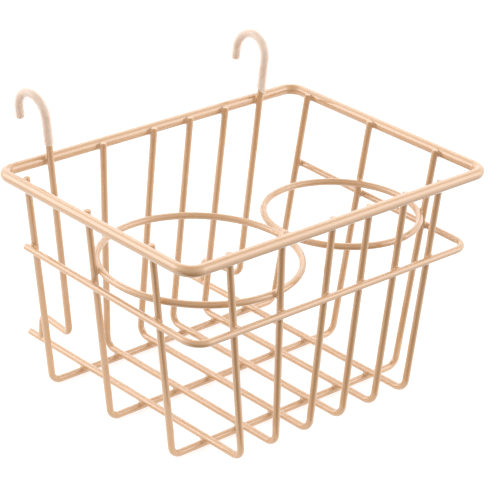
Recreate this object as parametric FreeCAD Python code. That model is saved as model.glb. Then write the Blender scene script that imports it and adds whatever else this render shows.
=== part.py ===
"""Handlebar basket: a welded wire basket with two hooks and two cup rings.

Frame: +X to the right along the basket's long side, +Y towards the handlebar (the hook
side), +Z up, in millimetres. The ground is at Z 0. Everything is drawn about the middle of
the rim, and the last step moves it so that the middle of the whole object is at Y 0.
"""
import FreeCAD, Part
import math
import os

V = FreeCAD.Vector

# Driving dimensions ------------------------------------------------------------------------
WIRE = 4.6                  # body wire over its coating
RIM_WIRE = 7.4              # heavy rim wire over its coating
SET_DOWN = 0.4              # how far two resistance-welded wires sink into each other
END_ROUND = 0.7             # coated wire ends have a softened edge

RIM_WIDTH = 261.2           # over the rim, left to right
RIM_DEPTH = 190.2           # over the rim, front to rear
BASKET_HEIGHT = 156.0       # ground to the top of the rim
FLOOR_WIDTH = 198.4         # between the corners where the side walls meet the floor
FRONT_CORNER_Y = -86.1      # where the front wall meets the floor
REAR_CORNER_Y = 82.0        # where the rear wall meets the floor
RIM_CORNER = 10.0           # bend radii, all at the wire's centre
BAND_CORNER = 11.0
WIRE_BEND = 7.5

BAND_HEIGHT = 102.8         # the mid band, at the basket's middle
BAND_RISE = 3.4             # how much higher its rear ends are than its front
BAND_OVERRUN = 4.5          # how far it runs past the rearmost side wires

FLOOR_PITCH = 29.0          # between the fore-aft wires on the floor
TOP_WIDE_PITCH = 43.0       # between the same wires at the rim, behind the large cup ring
TOP_HALF_SPAN = 90.5        # outermost fore-aft wires at the rim, from the middle
CROSS_MIDDLE_Y = 9.4        # the middle cross wire
CROSS_PITCH = 60.9          # between the cross wires
UPRIGHT_TOP_GAP = 1.1       # side and rear wall wires stop this far under the top of the rim
FRONT_TOP_GAP = 2.6         # the front wall's stop lower

LARGE_RING = 64.75          # cup rings, radius at the wire's centre
SMALL_RING = 51.55
RING_HEIGHT = 112.3

HOOK_RADIUS = 14.2          # at the wire's centre, for a 22.2 mm handlebar with the sleeves on
HOOK_CENTRE_HEIGHT = 181.9  # where the shank turns into the hook's half circle
HOOK_TIP = 5.0              # straight end of the hook, below the half circle
CRANK_HEIGHT = 24.9         # where the hook wire turns away from the rear wall
CRANK_X = 76.0              # hook wire at that height, from the middle
CRANK_REACH_Y = 116.7       # where it turns down again
CRANK_BEND = 6.0
TAIL_END_Y = 130.0          # the outermost floor wires end here, as spacers behind the basket

CRADLE_LENGTH = 28.0        # of the groove in the hook wire's foot, along the floor wire

SLEEVE_WALL = 0.9
SLEEVE_CLEARANCE = 0.04     # soft sleeve on its wire, each side
SLEEVE_FLARE = 0.45         # how far the open end spreads
SLEEVE_FLARE_LENGTH = 6.0
SLEEVE_END_HEIGHTS = {"left": 164.8, "right": 158.3}

# Places worked out from them ---------------------------------------------------------------
R = WIRE / 2
CROSS_Z = R                                  # cross wires lie on the ground
FLOOR_Z = CROSS_Z + WIRE - SET_DOWN          # fore-aft wires lie on the cross wires
RIM_Z = BASKET_HEIGHT - RIM_WIRE / 2
UPRIGHT_TOP = BASKET_HEIGHT - UPRIGHT_TOP_GAP
FRONT_TOP = BASKET_HEIGHT - FRONT_TOP_GAP
RIM_X = (RIM_WIDTH - RIM_WIRE) / 2           # rim wire centre, from the middle
RIM_Y = (RIM_DEPTH - RIM_WIRE) / 2
INSIDE_RIM = (RIM_WIRE + WIRE) / 2 - SET_DOWN
TOUCH = WIRE - SET_DOWN                      # centre to centre of two welded body wires
WALL_X = RIM_X - INSIDE_RIM                  # side wall wires at the rim
WALL_Y = RIM_Y - INSIDE_RIM                  # front and rear wall wires at the rim

FLOOR_X = [(i - 2.5) * FLOOR_PITCH for i in range(6)]
TOP_NARROW_PITCH = (2 * TOP_HALF_SPAN - 2 * TOP_WIDE_PITCH) / 3
TOP_X = [-TOP_HALF_SPAN + i * TOP_WIDE_PITCH for i in range(3)]
TOP_X += [TOP_HALF_SPAN - i * TOP_NARROW_PITCH for i in (2, 1, 0)]
CROSS_Y = [CROSS_MIDDLE_Y + i * CROSS_PITCH for i in (1, 0, -1)]


def blend(low, high, z):
    """The point at height z on the straight line from low to high."""
    return low + (high - low) * ((z - low.z) / (high.z - low.z))


def side_wire_x(z):
    """How far the side wall's wires are from the middle at height z."""
    return blend(V(FLOOR_WIDTH / 2, 0, CROSS_Z), V(WALL_X, 0, RIM_Z), z).x


# Wire work ---------------------------------------------------------------------------------
def bent_path(points, radius):
    """Straight runs through the points, with an arc of the given radius at each inner one."""
    edges = []
    start = points[0]
    for before, corner, after in zip(points, points[1:], points[2:]):
        back = (before - corner).normalize()
        ahead = (after - corner).normalize()
        half = back.getAngle(ahead) / 2
        run = radius / math.tan(half)
        into = (back + ahead).normalize()
        middle = corner + into * (radius / math.sin(half) - radius)
        first, last = corner + back * run, corner + ahead * run
        edges.append(Part.makeLine(start, first))
        edges.append(Part.Arc(first, middle, last).toShape())
        start = last
    edges.append(Part.makeLine(start, points[-1]))
    return edges


def sweep(edges, radius):
    """A round bar along joined edges."""
    path = Part.Wire(edges)
    first = edges[0]
    start = first.valueAt(first.FirstParameter)
    along = first.tangentAt(first.FirstParameter)
    disc = Part.Face(Part.Wire(Part.makeCircle(radius, start, along)))
    bar = path.makePipe(disc)
    return bar if bar.ShapeType == "Solid" else bar.Solids[0]


def soften_ends(bar, ends):
    """Rounds the edge of the flat faces at the given end points."""
    rims = []
    for face in bar.Faces:
        if isinstance(face.Surface, Part.Plane):
            if any(face.CenterOfMass.distanceToPoint(end) < R for end in ends):
                rims.extend(face.Edges)
    return bar.makeFillet(END_ROUND, rims)


def bent_wire(points, radius=WIRE_BEND, cut_ends=True):
    bar = sweep(bent_path(points, radius), R)
    return soften_ends(bar, (points[0], points[-1])) if cut_ends else bar


def ring(radius, centre):
    return Part.makeTorus(radius, R, centre, V(0, 0, 1))


# Frame wires -------------------------------------------------------------------------------
def make_rim():
    """One closed rectangle of heavy wire."""
    corners = [V(RIM_X, RIM_Y, RIM_Z), V(-RIM_X, RIM_Y, RIM_Z),
               V(-RIM_X, -RIM_Y, RIM_Z), V(RIM_X, -RIM_Y, RIM_Z)]
    seam = V(RIM_X, 0, RIM_Z)
    return sweep(bent_path([seam] + corners + [seam], RIM_CORNER), RIM_WIRE / 2)


def band_z(y):
    front, rear = FRONT_CORNER_Y, CROSS_Y[0]
    return BAND_HEIGHT + BAND_RISE * (y - (front + rear) / 2) / (rear - front)


def make_band():
    """A strap of body wire around the outside of the left, front and right walls."""
    front = FRONT_CORNER_Y - TOUCH
    rear = CROSS_Y[0] + BAND_OVERRUN
    points = []
    for side, y in ((-1, rear), (-1, front), (1, front), (1, rear)):
        points.append(V(side * (side_wire_x(band_z(y)) + TOUCH), y, band_z(y)))
    return bent_wire(points, BAND_CORNER)


def make_cross_wire(y):
    """Down the left wall, across under the floor and up the right wall."""
    half = FLOOR_WIDTH / 2
    low_left, top_left = V(-half, y, CROSS_Z), V(-WALL_X, y, RIM_Z)
    low_right, top_right = V(half, y, CROSS_Z), V(WALL_X, y, RIM_Z)
    return bent_wire([blend(low_left, top_left, UPRIGHT_TOP), low_left,
                      low_right, blend(low_right, top_right, UPRIGHT_TOP)])


def make_fore_aft_wire(number):
    """Down the front wall and back over the floor; the inner four climb the rear wall."""
    low_x, top_x = FLOOR_X[number], TOP_X[number]
    low_front, top_front = V(low_x, FRONT_CORNER_Y, FLOOR_Z), V(top_x, -WALL_Y, RIM_Z)
    points = [blend(low_front, top_front, FRONT_TOP), low_front]
    if number in (0, 5):
        points.append(V(low_x, TAIL_END_Y, FLOOR_Z))
    else:
        low_rear, top_rear = V(low_x, REAR_CORNER_Y, FLOOR_Z), V(top_x, WALL_Y, RIM_Z)
        points += [low_rear, blend(low_rear, top_rear, UPRIGHT_TOP)]
    return bent_wire(points)


# Hooks -------------------------------------------------------------------------------------
def hook_line(side):
    """The straight shank: the corner above the crank, and the start of the half circle."""
    corner = V(side * CRANK_X, REAR_CORNER_Y + SET_DOWN, CRANK_HEIGHT)
    at_rim = V(side * TOP_HALF_SPAN, WALL_Y, RIM_Z)
    return corner, blend(corner, at_rim, HOOK_CENTRE_HEIGHT)


def hook_curve(side):
    """Half circle from the shank to the rear, then the straight tip; and the tip's end."""
    corner, turn = hook_line(side)
    up = (turn - corner).normalize()
    rear = V(0, 1, 0)
    rear = (rear - up * up.dot(rear)).normalize()
    top = turn + (rear + up) * HOOK_RADIUS
    over = turn + rear * (2 * HOOK_RADIUS)
    tip = over - up * HOOK_TIP
    return [Part.Arc(turn, top, over).toShape(), Part.makeLine(over, tip)], tip


def make_hook_wire(side):
    """Hook, shank down the rear wall, crank to the rear, and a drop onto the floor wire."""
    corner, turn = hook_line(side)
    landing = V(side * abs(FLOOR_X[0]), CRANK_REACH_Y, FLOOR_Z)
    crank_top = V(landing.x, landing.y, CRANK_HEIGHT)
    lower = bent_path([landing, crank_top, corner, turn], CRANK_BEND)
    upper, tip = hook_curve(side)
    bar = sweep(lower + upper, R).fuse(Part.makeSphere(R, tip))
    cradle_start = landing - V(0, CRADLE_LENGTH / 2, 0)
    cradle = Part.makeCylinder(R - SET_DOWN / 3, CRADLE_LENGTH, cradle_start, V(0, 1, 0))
    return bar.removeSplitter().cut(cradle).Solids[0]


def make_sleeve(side, end_height):
    """A soft tube pushed over the hook, closed at the tip and a little flared at its open end."""
    curve, tip = hook_curve(side)
    corner, turn = hook_line(side)
    edges = [Part.makeLine(blend(corner, turn, end_height), turn)] + curve
    inner = R + SLEEVE_CLEARANCE
    outer = inner + SLEEVE_WALL
    start = edges[0].valueAt(edges[0].FirstParameter)
    up = edges[0].tangentAt(edges[0].FirstParameter)
    skin = sweep(edges, outer).fuse(Part.makeSphere(outer, tip))
    skin = skin.fuse(Part.makeCone(outer + SLEEVE_FLARE, outer, SLEEVE_FLARE_LENGTH, start, up))
    core = sweep(edges, inner).fuse(Part.makeSphere(inner, tip))
    core = core.fuse(Part.makeCone(inner + SLEEVE_FLARE, inner, SLEEVE_FLARE_LENGTH, start, up))
    return skin.cut(core).removeSplitter().Solids[0]


# Cup rings ---------------------------------------------------------------------------------
def ring_centre(first, second, radius, inward):
    """Centre of a circle that touches two upright wires from their inner side."""
    middle = (first + second) * 0.5
    half = (second - first).Length / 2
    across = V(-(second - first).y, (second - first).x, 0).normalize()
    if across.dot(inward) < 0:
        across = across * -1
    centre = middle + across * math.sqrt((radius + TOUCH) ** 2 - half ** 2)
    return V(centre.x, centre.y, RING_HEIGHT)


def make_large_ring():
    """Touches the middle left wall wire and the second front wall wire."""
    left = V(-side_wire_x(RING_HEIGHT), CROSS_Y[1], 0)
    low = V(FLOOR_X[1], FRONT_CORNER_Y, FLOOR_Z)
    front = blend(low, V(TOP_X[1], -WALL_Y, RIM_Z), RING_HEIGHT)
    centre = ring_centre(left, V(front.x, front.y, 0), LARGE_RING, V(1, 1, 0))
    return ring(LARGE_RING, centre)


def make_small_ring():
    """Touches the middle and front right wall wires."""
    x = side_wire_x(RING_HEIGHT)
    centre = ring_centre(V(x, CROSS_Y[1], 0), V(x, CROSS_Y[2], 0), SMALL_RING, V(-1, 0, 0))
    return ring(SMALL_RING, centre)


# Assembly ----------------------------------------------------------------------------------
def make_parts():
    parts = {"rim": make_rim(), "mid_band": make_band()}
    for name, y in zip(("rear", "middle", "front"), CROSS_Y):
        parts["cross_wire_" + name] = make_cross_wire(y)
    for number in range(6):
        parts["fore_aft_wire_%d" % (number + 1)] = make_fore_aft_wire(number)
    parts["large_cup_ring"] = make_large_ring()
    parts["small_cup_ring"] = make_small_ring()
    for name, side in (("left", -1), ("right", 1)):
        parts["hook_wire_" + name] = make_hook_wire(side)
        parts["hook_sleeve_" + name] = make_sleeve(side, SLEEVE_END_HEIGHTS[name])
    return parts


parts = make_parts()
front_edge = -RIM_DEPTH / 2
centring = V(0, -(front_edge + TAIL_END_Y) / 2, 0)
os.makedirs("parts", exist_ok=True)
for name, shape in parts.items():
    shape.translate(centring)
    shape.exportStep("parts/%s.step" % name)
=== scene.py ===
# %% [markdown]
# # A wire basket that hangs on a handlebar
# The basket is bent and welded from round steel wire, then coated, and two soft sleeves are pushed
# over its hooks. Nearly every piece is one wire that follows a line. So the lesson draws each wire's
# line first, and lets one node tree turn every line into a coated wire.
# The sizes come from the measured model of the basket, which is loaded here as a fixed frame. Each
# wire drawn below takes the place of the plain one in that frame, and has to match its box.

# %% The tools and the measured frame
import math

import bpy
import numpy as np
from mathutils import Matrix, Vector


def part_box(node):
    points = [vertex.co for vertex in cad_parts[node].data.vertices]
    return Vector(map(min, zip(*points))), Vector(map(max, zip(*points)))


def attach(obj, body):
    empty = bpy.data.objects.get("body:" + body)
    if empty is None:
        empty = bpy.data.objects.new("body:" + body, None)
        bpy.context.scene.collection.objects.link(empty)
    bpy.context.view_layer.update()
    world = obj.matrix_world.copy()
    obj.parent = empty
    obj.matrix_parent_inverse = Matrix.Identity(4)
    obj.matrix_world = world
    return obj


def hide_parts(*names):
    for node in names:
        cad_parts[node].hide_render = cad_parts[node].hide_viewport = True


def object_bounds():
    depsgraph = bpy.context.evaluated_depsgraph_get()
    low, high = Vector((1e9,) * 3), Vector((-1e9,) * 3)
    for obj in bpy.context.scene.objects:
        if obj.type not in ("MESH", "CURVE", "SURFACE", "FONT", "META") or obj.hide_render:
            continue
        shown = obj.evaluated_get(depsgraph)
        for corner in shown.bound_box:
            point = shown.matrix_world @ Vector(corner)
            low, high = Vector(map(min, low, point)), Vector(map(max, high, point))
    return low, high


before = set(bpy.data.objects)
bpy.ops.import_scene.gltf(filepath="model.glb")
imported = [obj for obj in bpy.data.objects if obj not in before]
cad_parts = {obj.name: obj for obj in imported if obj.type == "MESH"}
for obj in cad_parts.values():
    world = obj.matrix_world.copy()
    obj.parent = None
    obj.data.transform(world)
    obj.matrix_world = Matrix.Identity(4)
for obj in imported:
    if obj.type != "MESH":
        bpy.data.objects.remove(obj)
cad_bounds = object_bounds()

scene = bpy.context.scene
print("nodes in the frame:", len(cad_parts))
print("whole basket, mm:", [round(1000 * (high - low), 1) for low, high in zip(*cad_bounds)])

# %% [markdown]
# ## The camera
# The basket is seen from its front left, a little above, through a long lens. A long lens could be
# had by cropping a short one, but then the near corner would look too big, so the real distance
# is kept. The small roll is the tilt of the camera in the hand.

# %% Camera
AZIMUTH = math.radians(-43.42)
ELEVATION = math.radians(25.31)
ROLL = math.radians(2.90)
DISTANCE = 1.4908
TARGET = Vector((0.00941, -0.01533, 0.09342))

back = Vector((math.sin(AZIMUTH) * math.cos(ELEVATION),
               -math.cos(AZIMUTH) * math.cos(ELEVATION),
               math.sin(ELEVATION)))
level = Vector((math.cos(AZIMUTH), math.sin(AZIMUTH), 0))
upright = back.cross(level)
right = level * math.cos(ROLL) + upright * math.sin(ROLL)
up = upright * math.cos(ROLL) - level * math.sin(ROLL)

lens = bpy.data.cameras.new("camera")
lens.sensor_width = 36
lens.lens = 164.2
lens.clip_end = 50
camera = bpy.data.objects.new("camera", lens)
turn = Matrix((right, up, back)).transposed().to_4x4()
camera.matrix_world = Matrix.Translation(TARGET + back * DISTANCE) @ turn
scene.collection.objects.link(camera)
scene.camera = camera
print("camera at", [round(v, 3) for v in camera.matrix_world.translation])

# %% [markdown]
# ## Writing nodes as sums
# Shader and geometry trees are mostly arithmetic. Adding each Math node by hand is long and hides
# the formula. This class wraps a socket, so that an expression on sockets adds its nodes, and one
# method adds any other node from its type, its settings and its sockets.

# %% One class for sockets, one for trees
class Term:
    """An output socket that can be added, multiplied and so on."""

    def __init__(self, wiring, socket):
        self.wiring = wiring
        self.socket = socket

    def out(self, name):
        return Term(self.wiring, self.socket.node.outputs[name])

    def __add__(self, other):
        return self.wiring.maths("ADD", self, other)

    def __sub__(self, other):
        return self.wiring.maths("SUBTRACT", self, other)

    def __rsub__(self, other):
        return self.wiring.maths("SUBTRACT", other, self)

    def __mul__(self, other):
        return self.wiring.maths("MULTIPLY", self, other)

    def __truediv__(self, other):
        return self.wiring.maths("DIVIDE", self, other)

    __radd__ = __add__
    __rmul__ = __mul__


class Wiring:
    """Adds nodes to one tree."""

    def __init__(self, tree):
        self.tree = tree

    def node(self, kind, settings=None, sockets=None, output=0):
        made = self.tree.nodes.new(kind)
        for name, value in (settings or {}).items():
            if name == "stops":
                for stop, (place, colour) in zip(made.color_ramp.elements, value):
                    stop.position = place
                    stop.color = colour
            else:
                setattr(made, name, value)
        for name, value in (sockets or {}).items():
            if isinstance(value, Term):
                self.tree.links.new(value.socket, made.inputs[name])
            else:
                made.inputs[name].default_value = value
        return Term(self, made.outputs[output])

    def maths(self, operation, *values):
        return self.node("ShaderNodeMath", {"operation": operation}, dict(enumerate(values)))

    def vector(self, operation, *values, output=0):
        return self.node("ShaderNodeVectorMath", {"operation": operation},
                         dict(enumerate(values)), output)

    def blend(self, mask, first, second):
        """The first colour where the mask is 0, the second where it is 1."""
        return self.node("ShaderNodeMix", {"data_type": "RGBA"}, {0: mask, 6: first, 7: second}, 2)


# %% [markdown]
# ## The coating
# The wire is covered with a thick, even, sandy tan powder coat. It melts as it is baked, so it
# flows smooth but keeps a faint orange-peel ripple, and a few specks of dust stay in it. It could
# be one flat colour under a gloss, but then it would look like plastic. Here slow clouds move the
# colour and the gloss a little, fine noise gives the ripple, and rare cells give the specks.

# %% Material for the coated wire
TAN = (0.605, 0.348, 0.165, 1)
TAN_WARM = (0.548, 0.298, 0.128, 1)
SPECK = (0.16, 0.09, 0.04, 1)


def new_material(name):
    """An empty material, the wiring of its tree, and its shader."""
    material = bpy.data.materials.new(name)
    material.use_nodes = True
    material.node_tree.nodes.clear()
    wiring = Wiring(material.node_tree)
    shader = wiring.node("ShaderNodeBsdfPrincipled")
    target = material.node_tree.nodes.new("ShaderNodeOutputMaterial")
    material.node_tree.links.new(shader.socket, target.inputs["Surface"])
    return material, wiring, shader.socket.node


def feed(wiring, shader, sockets):
    """Sets or links sockets of a shader."""
    for name, value in sockets.items():
        if isinstance(value, Term):
            wiring.tree.links.new(value.socket, shader.inputs[name])
        else:
            shader.inputs[name].default_value = value


coating, tree, shader = new_material("coated_wire")
place = tree.node("ShaderNodeTexCoord", output="Object")
cloud = tree.node("ShaderNodeTexNoise", sockets={"Vector": place, "Scale": 38, "Detail": 3})
peel = tree.node("ShaderNodeTexNoise", sockets={"Vector": place, "Scale": 620, "Detail": 2})
dust = tree.node("ShaderNodeTexVoronoi", sockets={"Vector": place, "Scale": 75})
speck = tree.node("ShaderNodeMapRange", {"interpolation_type": "SMOOTHSTEP"},
                  {"Value": dust, "From Min": 0.014, "From Max": 0.022, "To Min": 1, "To Max": 0})
tan = tree.blend(cloud, TAN_WARM, TAN)
bump = tree.node("ShaderNodeBump", sockets={
    "Strength": 0.10, "Distance": 0.00008, "Height": peel + 3 * speck})
feed(tree, shader, {
    "Base Color": tree.blend(speck, tan, SPECK),
    "Roughness": 0.20 + 0.10 * cloud,
    "IOR": 1.55,
    "Coat Weight": 1.0,
    "Coat IOR": 1.75,
    "Coat Roughness": 0.05,
    "Normal": bump})
print("coating made with", len(coating.node_tree.nodes), "nodes")

# %% [markdown]
# ## One tree for every wire
# A wire-bending machine feeds straight wire and bends it round a pin at set places. The tree does
# the same: it takes corner points joined by straight lines, rounds each corner with its own bend
# radius, and sweeps a circle along the result. The cut ends get the soft edge that the coating
# leaves on them, and the surface gets a ripple far thinner than a hair, which breaks up the
# reflections as a real coat does. Extruding by hand would give the same tube, but fifteen times.

# %% A tree that turns corner points into a coated wire
SIDES = 24              # flats round the section of a wire
SPACING = 0.001         # from one ring of points to the next along a wire
END_ROUND = 0.0007      # how far the soft edge of a cut end reaches
END_CUTS = 7            # extra rings inside the last gap of a line, for its soft edge
BEND_STEPS = 16
RIPPLE = 0.00005


def new_tree(name, inputs):
    """A geometry tree with named inputs, its wiring, and a function that closes it."""
    group = bpy.data.node_groups.new(name, "GeometryNodeTree")
    group.interface.new_socket("Geometry", in_out="INPUT", socket_type="NodeSocketGeometry")
    group.interface.new_socket("Geometry", in_out="OUTPUT", socket_type="NodeSocketGeometry")
    for label, kind in inputs.items():
        group.interface.new_socket(label, in_out="INPUT", socket_type="NodeSocket" + kind)
    wiring = Wiring(group)
    given = wiring.node("NodeGroupInput")
    return group, wiring, given


def close_tree(wiring, geometry, material):
    """Realize Instances and Set Material, then the group's output."""
    whole = wiring.node("GeometryNodeRealizeInstances", sockets={"Geometry": geometry})
    painted = wiring.node("GeometryNodeSetMaterial",
                          sockets={"Geometry": whole, "Material": material})
    result = wiring.tree.nodes.new("NodeGroupOutput")
    wiring.tree.links.new(painted.socket, result.inputs["Geometry"])


wire_tree, tree, given = new_tree("coated wire", {
    "Line Only": "Bool", "Wire Radius": "Float", "Ring Spacing": "Float", "Sides": "Int",
    "End Round": "Float", "Ripple": "Float", "Material": "Material"})
corner_radius = tree.node("GeometryNodeInputNamedAttribute", {"data_type": "FLOAT"},
                          {"Name": "bend_radius"})
line = tree.node("GeometryNodeMeshToCurve", sockets={"Mesh": given})
line = tree.node("GeometryNodeFilletCurve", {"mode": "POLY"},
                 {"Curve": line, "Count": BEND_STEPS, "Radius": corner_radius,
                  "Limit Radius": True})
line = tree.node("GeometryNodeResampleCurve", {"mode": "LENGTH"},
                 {"Curve": line, "Length": given.out("Ring Spacing")})
bare_line = tree.node("GeometryNodeCurveToMesh", sockets={"Curve": line})

number = tree.node("GeometryNodeSplineParameter").out("Index")
count = tree.node("GeometryNodeSplineLength").out("Point Count")
first_gap = tree.maths("LESS_THAN", number, 0.5)
last_gap = tree.maths("GREATER_THAN", number, count - 2.5)
has_ends = tree.maths("GREATER_THAN", given.out("End Round"), 0)
close_rings = END_CUTS * has_ends * (first_gap + last_gap)
line = tree.node("GeometryNodeSubdivideCurve", sockets={"Curve": line, "Cuts": close_rings})

travelled = tree.node("GeometryNodeSplineParameter").out("Length")
whole_length = tree.node("GeometryNodeSplineLength").out("Length")
to_end = tree.maths("MINIMUM", travelled, whole_length - travelled)
edge = given.out("End Round")
inward = edge - tree.maths("MINIMUM", to_end, edge)
rounded = tree.maths("SQRT", tree.maths("MAXIMUM", edge * edge - inward * inward, 0))
thickness = (given.out("Wire Radius") - edge + rounded) / given.out("Wire Radius")
section = tree.node("GeometryNodeCurvePrimitiveCircle", sockets={
    "Resolution": given.out("Sides"), "Radius": given.out("Wire Radius")})
tube = tree.node("GeometryNodeCurveToMesh", sockets={
    "Curve": line, "Profile Curve": section, "Scale": thickness, "Fill Caps": has_ends})
ripple = tree.node("ShaderNodeTexNoise", sockets={"Scale": 170, "Detail": 1})
outward = tree.node("GeometryNodeInputNormal")
tube = tree.node("GeometryNodeSetPosition", sockets={
    "Geometry": tube,
    "Offset": tree.node("ShaderNodeVectorMath", {"operation": "SCALE"},
                        {0: outward, "Scale": (ripple - 0.5) * given.out("Ripple")})})
tube = tree.node("GeometryNodeSetShadeSmooth", sockets={"Geometry": tube})
chosen = tree.node("GeometryNodeSwitch", {"input_type": "GEOMETRY"},
                   {"Switch": given.out("Line Only"), "False": tube, "True": bare_line})
close_tree(tree, chosen, given.out("Material"))
print("wire tree:", len(wire_tree.nodes), "nodes")

# %% [markdown]
# ## From corner points to a plain mesh
# A modifier's inputs are set by their identifiers before the object is first evaluated. The result
# is copied out as a plain mesh, because the finished pieces carry no live trees. The same helper
# serves every tree in this lesson.

# %% Helpers that run a tree and check a wire
def grow(name, start, group, inputs):
    """Runs a tree on a start mesh and returns the result as a new plain object."""
    source = bpy.data.objects.new(name, start)
    scene.collection.objects.link(source)
    modifier = source.modifiers.new(group.name, "NODES")
    modifier.node_group = group
    for item in group.interface.items_tree:
        if item.in_out == "INPUT" and item.name in inputs:
            modifier[item.identifier] = inputs[item.name]
    seen = source.evaluated_get(bpy.context.evaluated_depsgraph_get())
    mesh = bpy.data.meshes.new_from_object(seen)
    bpy.data.objects.remove(source)
    mesh.name = name
    piece = bpy.data.objects.new(name, mesh)
    scene.collection.objects.link(piece)
    return piece


def corner_mesh(name, corners, radius, closed=False):
    """Corner points joined by edges, each with the radius of its bend."""
    mesh = bpy.data.meshes.new(name)
    count = len(corners)
    edges = [(i, (i + 1) % count) for i in range(count if closed else count - 1)]
    mesh.from_pydata(corners, edges, [])
    radii = radius if isinstance(radius, list) else [radius] * count
    mesh.attributes.new("bend_radius", "FLOAT", "POINT").data.foreach_set("value", radii)
    return mesh


lines = {}      # each wire's centre line: its points, its radius, and whether it is closed


def make_wire(name, corners, bend, radius, closed=False):
    """The coated wire that takes the place of a node of the frame."""
    start = corner_mesh(name, corners, bend, closed)
    inputs = {"Wire Radius": radius, "Ring Spacing": SPACING, "Sides": SIDES,
              "End Round": 0.0 if closed else END_ROUND, "Ripple": RIPPLE,
              "Material": coating, "Line Only": False}
    piece = grow(name + "_coated", start, wire_tree, inputs)
    inputs["Line Only"] = True
    line = grow(name + "_line", start, wire_tree, inputs)
    points = np.array([tuple(v.co) for v in line.data.vertices])
    lines[name] = (points, radius, closed)
    bpy.data.objects.remove(line)
    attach(piece, "root")
    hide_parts(name)
    low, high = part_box(name)
    places = np.array([tuple(v.co) for v in piece.data.vertices])
    miss = max(np.abs(places.min(0) - low).max(), np.abs(places.max(0) - high).max())
    print(f"{name}: {len(piece.data.polygons)} faces, off its box by {1000 * miss:.2f} mm")


# %% [markdown]
# ## The rim
# The rim is one closed rectangle of much heavier wire, and everything hangs from it. Its straight
# sides and four bends need only four corner points. Its line sits half a wire inside its box.

# %% Rim
WIRE = 0.0046
RIM_WIRE = 0.0074
RIM_BEND = 0.010

low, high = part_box("rim")
half_rim = Vector((RIM_WIRE, RIM_WIRE, RIM_WIRE)) / 2
low, high = low + half_rim, high - half_rim
rim_z = (low.z + high.z) / 2
rim_front, rim_rear, rim_side = low.y, high.y, high.x
make_wire("rim", [(low.x, low.y, rim_z), (high.x, low.y, rim_z),
                  (high.x, high.y, rim_z), (low.x, high.y, rim_z)],
          RIM_BEND, RIM_WIRE / 2, closed=True)

# %% [markdown]
# ## The cross wires
# Three wires run down the left wall, across under the floor and up the right wall, and the basket
# stands on them. The walls lean outwards, so the line through each upright is worked out from the
# point where it meets the floor and the point where it touches the inside of the rim. The tops
# stop a little under the top of the rim.

# %% Cross wires
SET_DOWN = 0.0004           # how far two welded wires sink into each other
WIRE_BEND = 0.0075
FLOOR_HALF_WIDTH = 0.0992   # from the middle to where the side walls meet the floor
UPRIGHT_TOP_GAP = 0.0011
FRONT_TOP_GAP = 0.0026      # the front wall's wires stop lower

thin = WIRE / 2
touch = WIRE - SET_DOWN
inside_rim = (RIM_WIRE + WIRE) / 2 - SET_DOWN
wall_side = rim_side - inside_rim
wall_front = rim_front + inside_rim
wall_rear = rim_rear - inside_rim
cross_z = cad_bounds[0][2] + thin
floor_z = cross_z + touch
upright_top = rim_z + RIM_WIRE / 2 - UPRIGHT_TOP_GAP
front_top = rim_z + RIM_WIRE / 2 - FRONT_TOP_GAP


def at_height(foot, head, z):
    """The point at height z on the straight line from foot to head."""
    return foot + (head - foot) * ((z - foot.z) / (head.z - foot.z))


def side_wall(z):
    """How far a side wall's wires are from the middle at height z."""
    return at_height(Vector((FLOOR_HALF_WIDTH, 0, cross_z)), Vector((wall_side, 0, rim_z)), z).x


cross_y = {}
for part in ("rear", "middle", "front"):
    low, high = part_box("cross_wire_" + part)
    y = cross_y[part] = (low.y + high.y) / 2
    top = side_wall(upright_top)
    make_wire("cross_wire_" + part,
              [(-top, y, upright_top), (-FLOOR_HALF_WIDTH, y, cross_z),
               (FLOOR_HALF_WIDTH, y, cross_z), (top, y, upright_top)], WIRE_BEND, thin)

# %% [markdown]
# ## The fore-aft wires
# Six wires run down the front wall and back over the floor. The inner four climb the rear wall,
# and the outer two run on behind the basket, where they end as short stubs. On the floor they are
# evenly spaced, but at the rim they fan out, wider on the left.

# %% Fore-aft wires
FLOOR_PITCH = 0.0290
TOP_WIDE_PITCH = 0.0430     # between the left three wires at the rim
TOP_HALF_SPAN = 0.0905
FRONT_REACH = 0.0861        # from the rim's middle to where the front wall meets the floor
REAR_REACH = 0.0820

middle_y = (rim_front + rim_rear) / 2
front_corner = middle_y - FRONT_REACH
rear_corner = middle_y + REAR_REACH
tail_end = cad_bounds[1][1]
narrow_pitch = (2 * TOP_HALF_SPAN - 2 * TOP_WIDE_PITCH) / 3
top_x = [-TOP_HALF_SPAN + i * TOP_WIDE_PITCH for i in range(3)]
top_x += [TOP_HALF_SPAN - i * narrow_pitch for i in (2, 1, 0)]
floor_x = [(i - 2.5) * FLOOR_PITCH for i in range(6)]

for i in range(6):
    front_foot = Vector((floor_x[i], front_corner, floor_z))
    front_head = Vector((top_x[i], wall_front, rim_z))
    corners = [at_height(front_foot, front_head, front_top), front_foot]
    if i in (0, 5):
        corners.append(Vector((floor_x[i], tail_end, floor_z)))
    else:
        rear_foot = Vector((floor_x[i], rear_corner, floor_z))
        rear_head = Vector((top_x[i], wall_rear, rim_z))
        corners += [rear_foot, at_height(rear_foot, rear_head, upright_top)]
    make_wire(f"fore_aft_wire_{i + 1}", corners, WIRE_BEND, thin)

# %% [markdown]
# ## The mid band
# A strap of the same wire is welded round the outside of the left, front and right walls. It slopes
# up a few millimetres to the rear, and follows the lean of the side walls.

# %% Mid band
BAND_HEIGHT = 0.1028
BAND_RISE = 0.0034      # from the front corner to the rear cross wire
BAND_OVERRUN = 0.0045   # past the rear cross wire
BAND_BEND = 0.011


def band_height(y):
    """The height of the strap's line at a place along the side walls."""
    along = (y - (front_corner + cross_y["rear"]) / 2) / (cross_y["rear"] - front_corner)
    return cad_bounds[0][2] + BAND_HEIGHT + BAND_RISE * along


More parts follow.
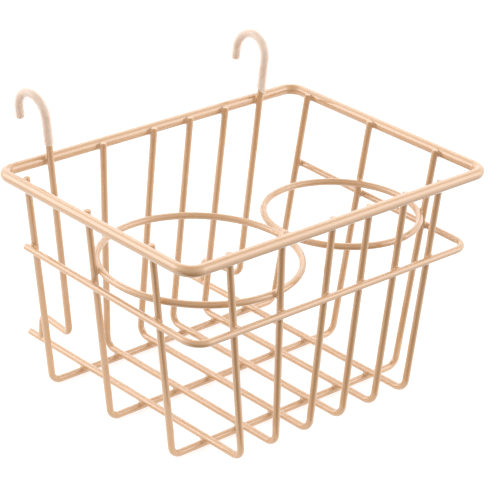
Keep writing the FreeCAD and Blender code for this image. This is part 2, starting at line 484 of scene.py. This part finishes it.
corners = []
for side, y in ((-1, cross_y["rear"] + BAND_OVERRUN), (-1, front_corner - touch),
                (1, front_corner - touch), (1, cross_y["rear"] + BAND_OVERRUN)):
    z = band_height(y)
    corners.append((side * (side_wall(z) + touch), y, z))
make_wire("mid_band", corners, BAND_BEND, thin)

# %% [markdown]
# ## The cup rings
# Two closed circles of wire stand inside the walls and touch each other. Their boxes give their
# centres and sizes, and a polygon of many short sides is as good as a circle, because the tree
# lays its own rings along it.

# %% Cup rings
def circle(centre, radius, count=180):
    """Points of a level circle."""
    angles = [2 * math.pi * i / count for i in range(count)]
    return [centre + Vector((math.cos(a), math.sin(a), 0)) * radius for a in angles]


for name in ("large_cup_ring", "small_cup_ring"):
    low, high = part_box(name)
    radius = (high.x - low.x) / 2 - thin
    make_wire(name, circle((low + high) / 2, radius), 0.0, thin, closed=True)
    print(f"  clear inside: {2000 * (radius - thin):.1f} mm")

# %% [markdown]
# ## The hook wires
# Each hook wire starts on an outer floor wire behind the basket, goes up, is cranked forward to the
# rear wall, climbs it, and ends in a hook that drops over the handlebar. A half circle is two
# quarter bends of the same radius, so the hook is only two more corners with a larger radius.

# %% Hook wires
HOOK_RADIUS = 0.0142
HOOK_TURN_HEIGHT = 0.1819   # where the shank ends and the half circle starts
HOOK_TIP = 0.005            # the straight end past the half circle
CRANK_HEIGHT = 0.0249
CRANK_X = 0.076
CRANK_BEND = 0.006
CRANK_REACH = 0.1167        # from the rim's middle to the drop behind the rear wall
FOOT_BURIED = 0.3           # the lower end stops this many wire radii over the floor wire's line

hooks = {}
for name, side in (("left", -1), ("right", 1)):
    foot = Vector((side * floor_x[5], middle_y + CRANK_REACH, floor_z + FOOT_BURIED * thin))
    crank_top = Vector((foot.x, foot.y, CRANK_HEIGHT))
    crank = Vector((side * CRANK_X, rear_corner + SET_DOWN, CRANK_HEIGHT))
    turn = at_height(crank, Vector((side * TOP_HALF_SPAN, wall_rear, rim_z)), HOOK_TURN_HEIGHT)
    along = (turn - crank).normalized()
    rear = (Vector((0, 1, 0)) - along * along.y).normalized()
    first_bend = turn + along * HOOK_RADIUS
    second_bend = first_bend + rear * 2 * HOOK_RADIUS
    tip = second_bend - along * (HOOK_RADIUS + HOOK_TIP)
    hooks[name] = (crank, along, first_bend, second_bend, tip)
    make_wire("hook_wire_" + name,
              [foot, crank_top, crank, first_bend, second_bend, tip - along * thin],
              [0.0, CRANK_BEND, CRANK_BEND, HOOK_RADIUS, HOOK_RADIUS, 0.0], thin)

# %% [markdown]
# ## The hook sleeves
# A soft vinyl tube is pushed over each hook, so that it grips the handlebar and doesn't scratch it.
# It is closed at the tip, and at its mouth it is cut at a slant, a little loose and uneven. The tree
# sweeps the outer skin along the hook, closes the tip as a dome, flares and slants the mouth, and
# Solidify gives it a wall. Low on the left sleeve the vinyl is scuffed.

# %% Material for the sleeves
VINYL = (0.95, 0.75, 0.60, 1)
VINYL_MILKY = (0.96, 0.85, 0.76, 1)
SCUFF = (0.42, 0.27, 0.20, 1)

vinyl, tree, shader = new_material("sleeve_vinyl")
place = tree.node("ShaderNodeTexCoord", output="Object")
milk = tree.node("ShaderNodeTexNoise", sockets={"Vector": place, "Scale": 140, "Detail": 3})
skin = tree.node("ShaderNodeTexNoise", sockets={"Vector": place, "Scale": 800, "Detail": 2})
pits = tree.node("ShaderNodeTexVoronoi", sockets={"Vector": place, "Scale": 620})
pit = tree.node("ShaderNodeMapRange", {"interpolation_type": "SMOOTHSTEP"},
                {"Value": pits, "From Min": 0.12, "From Max": 0.30, "To Min": 1, "To Max": 0})
along_x = tree.node("ShaderNodeSeparateXYZ", sockets={"Vector": place}, output="X")
height = tree.node("ShaderNodeSeparateXYZ", sockets={"Vector": place}, output="Z")
low_down = tree.node("ShaderNodeMapRange", {"interpolation_type": "SMOOTHSTEP"},
                     {"Value": height, "From Min": 0.172, "From Max": 0.186, "To Min": 1, "To Max": 0})
scuffed = pit * low_down * tree.maths("LESS_THAN", along_x, 0)
feed(tree, shader, {
    "Base Color": tree.blend(0.4 * scuffed, tree.blend(milk, VINYL, VINYL_MILKY), SCUFF),
    "Roughness": 0.22 + 0.15 * milk,
    "IOR": 1.5,
    "Alpha": 0.42 + 0.20 * milk + 0.15 * scuffed,
    "Normal": tree.node("ShaderNodeBump", sockets={
        "Strength": 0.3, "Distance": 0.0001, "Height": skin})})

# %% Sleeves
SLEEVE_WALL = 0.0009
SLEEVE_CLEARANCE = 0.00004
SLEEVE_MOUTH = {"left": 0.1648, "right": 0.1583}
MOUTH_SLANT = {"left": 0.0012, "right": 0.0050}     # each was cut off at its own slant
MOUTH_FLARE = 0.00045
MOUTH_LENGTH = 0.006
LOOSENESS = 0.0003
SLEEVE_SIDES = 36
SLEEVE_SPACING = 0.0004
SLEEVE_BEND_STEPS = 24
sleeve_radius = thin + SLEEVE_CLEARANCE + SLEEVE_WALL

sleeve_tree, tree, given = new_tree("hook sleeve", {
    "Outer Radius": "Float", "Flare": "Float", "Flare Length": "Float", "Looseness": "Float",
    "Slant": "Float", "Slant Side": "Vector", "Material": "Material"})
corner_radius = tree.node("GeometryNodeInputNamedAttribute", {"data_type": "FLOAT"},
                          {"Name": "bend_radius"})
line = tree.node("GeometryNodeMeshToCurve", sockets={"Mesh": given})
line = tree.node("GeometryNodeFilletCurve", {"mode": "POLY"},
                 {"Curve": line, "Count": SLEEVE_BEND_STEPS, "Radius": corner_radius,
                  "Limit Radius": True})
line = tree.node("GeometryNodeResampleCurve", {"mode": "LENGTH"},
                 {"Curve": line, "Length": SLEEVE_SPACING})
number = tree.node("GeometryNodeSplineParameter").out("Index")
count = tree.node("GeometryNodeSplineLength").out("Point Count")
last_gap = tree.maths("GREATER_THAN", number, count - 2.5)
line = tree.node("GeometryNodeSubdivideCurve", sockets={"Curve": line, "Cuts": END_CUTS * last_gap})
travelled = tree.node("GeometryNodeSplineParameter").out("Length")
to_tip = tree.node("GeometryNodeSplineLength").out("Length") - travelled
outer = given.out("Outer Radius")
inward = outer - tree.maths("MINIMUM", to_tip, outer)
dome = tree.maths("SQRT", tree.maths("MAXIMUM", outer * outer - inward * inward, 0)) / outer
opening = 1 - tree.maths("MINIMUM", travelled / given.out("Flare Length"), 1)
spread = 1 + opening * opening * given.out("Flare") / outer
line = tree.node("GeometryNodeStoreNamedAttribute", {"data_type": "FLOAT", "domain": "POINT"},
                 {"Geometry": line, "Name": "opening", "Value": opening})
section = tree.node("GeometryNodeCurvePrimitiveCircle",
                    sockets={"Resolution": SLEEVE_SIDES, "Radius": outer})
tube = tree.node("GeometryNodeCurveToMesh", sockets={
    "Curve": line, "Profile Curve": section, "Scale": dome * spread})
wave = tree.node("ShaderNodeTexNoise", sockets={"Scale": 130, "Detail": 1})
loose = (wave - 0.5) * given.out("Looseness")
outward = tree.node("GeometryNodeInputNormal")
near_mouth = tree.node("GeometryNodeInputNamedAttribute", {"data_type": "FLOAT"}, {"Name": "opening"})
on_side = 0.5 + 0.5 * tree.vector("DOT_PRODUCT", outward, given.out("Slant Side"), output="Value")
rise = tree.node("ShaderNodeCombineXYZ", sockets={
    "Z": given.out("Slant") * near_mouth * on_side * on_side})
swell = tree.node("ShaderNodeVectorMath", {"operation": "SCALE"}, {0: outward, "Scale": loose})
tube = tree.node("GeometryNodeSetPosition", sockets={
    "Geometry": tube, "Offset": tree.vector("ADD", swell, rise)})
tube = tree.node("GeometryNodeMergeByDistance", sockets={"Geometry": tube, "Distance": 0.00002})
tube = tree.node("GeometryNodeSetShadeSmooth", sockets={"Geometry": tube})
close_tree(tree, tube, given.out("Material"))

for name in ("left", "right"):
    crank, along, first_bend, second_bend, tip = hooks[name]
    mouth = at_height(crank, first_bend, SLEEVE_MOUTH[name])
    start = corner_mesh(name, [mouth, first_bend, second_bend, tip - along * sleeve_radius],
                        [0.0, HOOK_RADIUS, HOOK_RADIUS, 0.0])
    sleeve = grow(f"hook_sleeve_{name}_vinyl", start, sleeve_tree, {
        "Outer Radius": sleeve_radius, "Flare": MOUTH_FLARE, "Flare Length": MOUTH_LENGTH,
        "Looseness": LOOSENESS, "Slant": MOUTH_SLANT[name], "Slant Side": (-0.73, 0.69, 0),
        "Material": vinyl})
    wall = sleeve.modifiers.new("wall", "SOLIDIFY")
    wall.thickness = SLEEVE_WALL
    wall.offset = -1
    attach(sleeve, "root")
    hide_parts("hook_sleeve_" + name)
    print("sleeve", name, len(sleeve.data.polygons), "faces before its wall")

# %% [markdown]
# ## The welds
# The wires are resistance-welded: they are pressed together while a current melts the touching
# spot, so they sink a little into each other, and the coating then fills the sharp corner round
# the joint. Modelling one joint and copying it would fail where wires lean or bend, so each joint
# is grown from the two lines that meet there. The tree measures the distance to both wires,
# blends the two distances smoothly, and skins the result. Away from the joint the skin lies just
# under the wires' own surface, so only the small collar shows.

# %% Where wires meet
def nearest_places(first, second):
    """Midpoints of the places where two lines come nearest and their wires touch."""
    points_a, radius_a, closed_a = lines[first]
    points_b, radius_b, closed_b = lines[second]
    gaps = np.linalg.norm(points_a[:, None] - points_b[None], axis=2)
    best = gaps.min(axis=1)
    reach = radius_a + radius_b
    places = []
    inside = best < reach
    start = None
    for i in range(len(best) + 1):
        if i < len(best) and inside[i]:
            start = i if start is None else start
        elif start is not None:
            k = start + int(best[start:i].argmin())
            other = int(gaps[k].argmin())
            places.append((points_a[k] * radius_b + points_b[other] * radius_a) / reach)
            start = None
    return places


def weld_group(first, second):
    """The piece that a joint of these two wires belongs to."""
    names = first + " " + second
    for key in ("rim", "mid_band", "ring"):
        if key in names:
            return {"rim": "rim_welds", "mid_band": "band_welds", "ring": "ring_welds"}[key]
    return "floor_welds"


joints = {}
names = sorted(lines)
for i, first in enumerate(names):
    for second in names[i + 1:]:
        for middle in nearest_places(first, second):
            joints.setdefault(weld_group(first, second), []).append((first, second, middle))
for group, found in joints.items():
    print(group, len(found))

# %% A tree that fills the corner round a joint
weld_tree, tree, given = new_tree("weld collar", {
    "First Line": "Object", "Second Line": "Object", "First Radius": "Float",
    "Second Radius": "Float", "Middle": "Vector", "Reach": "Float", "Grain": "Float",
    "Fill": "Float", "Skin": "Float", "Material": "Material"})
spot = tree.node("GeometryNodeInputPosition")


def depth(line, radius):
    """How far a place is outside the wire along this line."""
    shape = tree.node("GeometryNodeObjectInfo", sockets={"Object": given.out(line)})
    near = tree.node("GeometryNodeProximity", {"target_element": "EDGES"},
                     {"Geometry": shape.out("Geometry"), "Sample Position": spot})
    return near.out("Distance") - given.out(radius)


first_gap = depth("First Line", "First Radius")
second_gap = depth("Second Line", "Second Radius")
fill = given.out("Fill")
overlap = tree.maths("MAXIMUM", fill - tree.maths("ABSOLUTE", first_gap - second_gap), 0)
outside = tree.maths("MINIMUM", first_gap, second_gap) - overlap * overlap / (4 * fill)
solid = tree.maths("MAXIMUM", 1 - (outside + given.out("Skin")) / given.out("Reach"), 0)
reach = tree.node("ShaderNodeCombineXYZ", sockets={
    "X": given.out("Reach"), "Y": given.out("Reach"), "Z": given.out("Reach")})
cells = 2 * given.out("Reach") / given.out("Grain")
middle = given.out("Middle")
cloud = tree.node("GeometryNodeVolumeCube", sockets={
    "Density": solid, "Min": tree.vector("SUBTRACT", middle, reach),
    "Max": tree.vector("ADD", middle, reach),
    "Resolution X": cells, "Resolution Y": cells, "Resolution Z": cells})
collar = tree.node("GeometryNodeVolumeToMesh", {"resolution_mode": "GRID"},
                   {"Volume": cloud, "Threshold": 1.0})
collar = tree.node("GeometryNodeSetShadeSmooth", sockets={"Geometry": collar})
close_tree(tree, collar, given.out("Material"))

# %% Welds
GRAIN = 0.00035         # the size of a cell of the collar's skin
SKIN = 0.00006          # how far the skin lies under the wires' own surface
CORNER_FILL = 0.0024    # how wide the coating fills the corner
COLLAR_REACH = 0.95     # half the collar's box, as a share of both wires' radii


def core_line(name):
    """A wire's line, stopped one radius short of its cut ends, so that no round end shows."""
    points, radius, closed = lines[name]
    if not closed:
        steps = np.linalg.norm(np.diff(points, axis=0), axis=1)
        travelled = np.concatenate([[0], np.cumsum(steps)])
        keep = (travelled >= radius) & (travelled <= travelled[-1] - radius)
        points = points[keep]
    count = len(points)
    edges = [(i, (i + 1) % count) for i in range(count if closed else count - 1)]
    mesh = bpy.data.meshes.new(name + "_core")
    mesh.from_pydata([tuple(p) for p in points], edges, [])
    core = bpy.data.objects.new(name + "_core", mesh)
    scene.collection.objects.link(core)
    return core


cores = {name: core_line(name) for name in lines}
for group, found in joints.items():
    collars = []
    for first, second, middle in found:
        radii = lines[first][1], lines[second][1]
        collars.append(grow(group, bpy.data.meshes.new(group), weld_tree, {
            "First Line": cores[first], "Second Line": cores[second],
            "First Radius": radii[0], "Second Radius": radii[1],
            "Middle": tuple(float(v) for v in middle), "Reach": COLLAR_REACH * sum(radii),
            "Grain": GRAIN, "Fill": CORNER_FILL, "Skin": SKIN, "Material": coating}))
    with bpy.context.temp_override(active_object=collars[0], selected_editable_objects=collars):
        bpy.ops.object.join()
    welds = collars[0]
    welds.name = welds.data.name = group
    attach(welds, "root")
    print(group, "joints:", len(found), "faces:", len(welds.data.polygons))
for core in cores.values():
    bpy.data.objects.remove(core)

# %% [markdown]
# ## Floor and light
# The basket stands on a plain pale floor. Light bounced from a white floor would wash out the front
# wires, so only the sheet of paper that starts at the basket's front sends any up, and the floor
# round it sends none. The paper glows a little, as a lit table does, so that hardly a shadow shows.
# The studio is a few wide soft glows, each brightest in one direction and fading round it. Two square
# panels and a narrow strip stand among them, and their straight edges draw the pale streaks along
# the coating. The camera's own side stays dim.

# %% Floor
PAPER_SIDE = 0.6
PAPER_FAR = 1.2
PAPER_MARGIN = 0.015    # how far the paper reaches in front of the basket
FLOOR_REACH = 9
FLOOR_DROP = 0.0005


def sheet(name, left, right, front, rear, height):
    """A flat sheet of the floor's material that only sets the stage."""
    mesh = bpy.data.meshes.new(name)
    corners = [(left, front), (right, front), (right, rear), (left, rear)]
    mesh.from_pydata([(x, y, height) for x, y in corners], [], [(0, 1, 2, 3)])
    mesh.materials.append(paper)
    ground = bpy.data.objects.new(name, mesh)
    scene.collection.objects.link(ground)
    return ground


paper, tree, shader = new_material("floor_paper")
place = tree.node("ShaderNodeTexCoord", output="Object")
fibre = tree.node("ShaderNodeTexNoise", sockets={"Vector": place, "Scale": 6, "Detail": 3})
feed(tree, shader, {"Base Color": tree.blend(fibre, (0.34, 0.34, 0.34, 1), (0.37, 0.37, 0.37, 1)),
                    "Roughness": 0.7, "Emission Color": (1, 1, 1, 1), "Emission Strength": 0.72})
sheet("paper", -PAPER_SIDE, PAPER_FAR, cad_bounds[0][1] - PAPER_MARGIN, PAPER_FAR, 0)
floor = sheet("floor", -FLOOR_REACH, FLOOR_REACH, -FLOOR_REACH, FLOOR_REACH, -FLOOR_DROP)
floor.visible_diffuse = floor.visible_glossy = False

# %% Light
PANEL_DISTANCE = 1.6
GLOW_FALL = 3           # the power of the cosine by which a glow fades
GLOWS = {               # the way towards each glow, and its strength
    "behind left": ((-0.62, 0.66, 0.43), 2.1),
    "front right": ((0.62, -0.66, 0.43), 1.7),
    "behind right": ((0.62, 0.66, 0.35), 1.6),
    "front left": ((-0.60, -0.65, 0.45), 0.80),
    "low on the right": ((0.78, -0.50, -0.38), 0.9)}
PANELS = {              # the way towards each panel, its power, its width and its height
    "panel_left": ((-0.62, 0.66, 0.43), 4, 1.0, 1.0),
    "panel_right": ((0.62, -0.66, 0.43), 3, 1.0, 1.0),
    "strip_behind": ((0.47, 0.50, 0.73), 1.4, 1.4, 0.16)}

world = bpy.data.worlds.new("soft studio")
scene.world = world
world.use_nodes = True
world.node_tree.nodes.clear()
room = Wiring(world.node_tree)
way = room.node("ShaderNodeTexCoord", output="Generated")
brightness = 0
for direction, strength in GLOWS.values():
    facing = room.vector("DOT_PRODUCT", way, Vector(direction).normalized(), output="Value")
    spread = room.maths("POWER", room.maths("MAXIMUM", facing, 0), GLOW_FALL)
    brightness = brightness + strength * spread
glow = room.node("ShaderNodeBackground", sockets={"Color": (1, 1, 1, 1), "Strength": brightness})
target = world.node_tree.nodes.new("ShaderNodeOutputWorld")
world.node_tree.links.new(glow.socket, target.inputs["Surface"])
for name, (direction, power, width, height) in PANELS.items():
    light = bpy.data.lights.new(name, "AREA")
    light.shape = "RECTANGLE"
    light.size = width
    light.size_y = height
    light.energy = power
    lamp = bpy.data.objects.new(name, light)
    away = Vector(direction).normalized()
    lamp.matrix_world = (Matrix.Translation(TARGET + away * PANEL_DISTANCE)
                         @ away.to_track_quat("Z", "Y").to_matrix().to_4x4())
    scene.collection.objects.link(lamp)
print("soft glows:", ", ".join(GLOWS), "and", len(PANELS), "panels")
scene.view_settings.view_transform = "Standard"
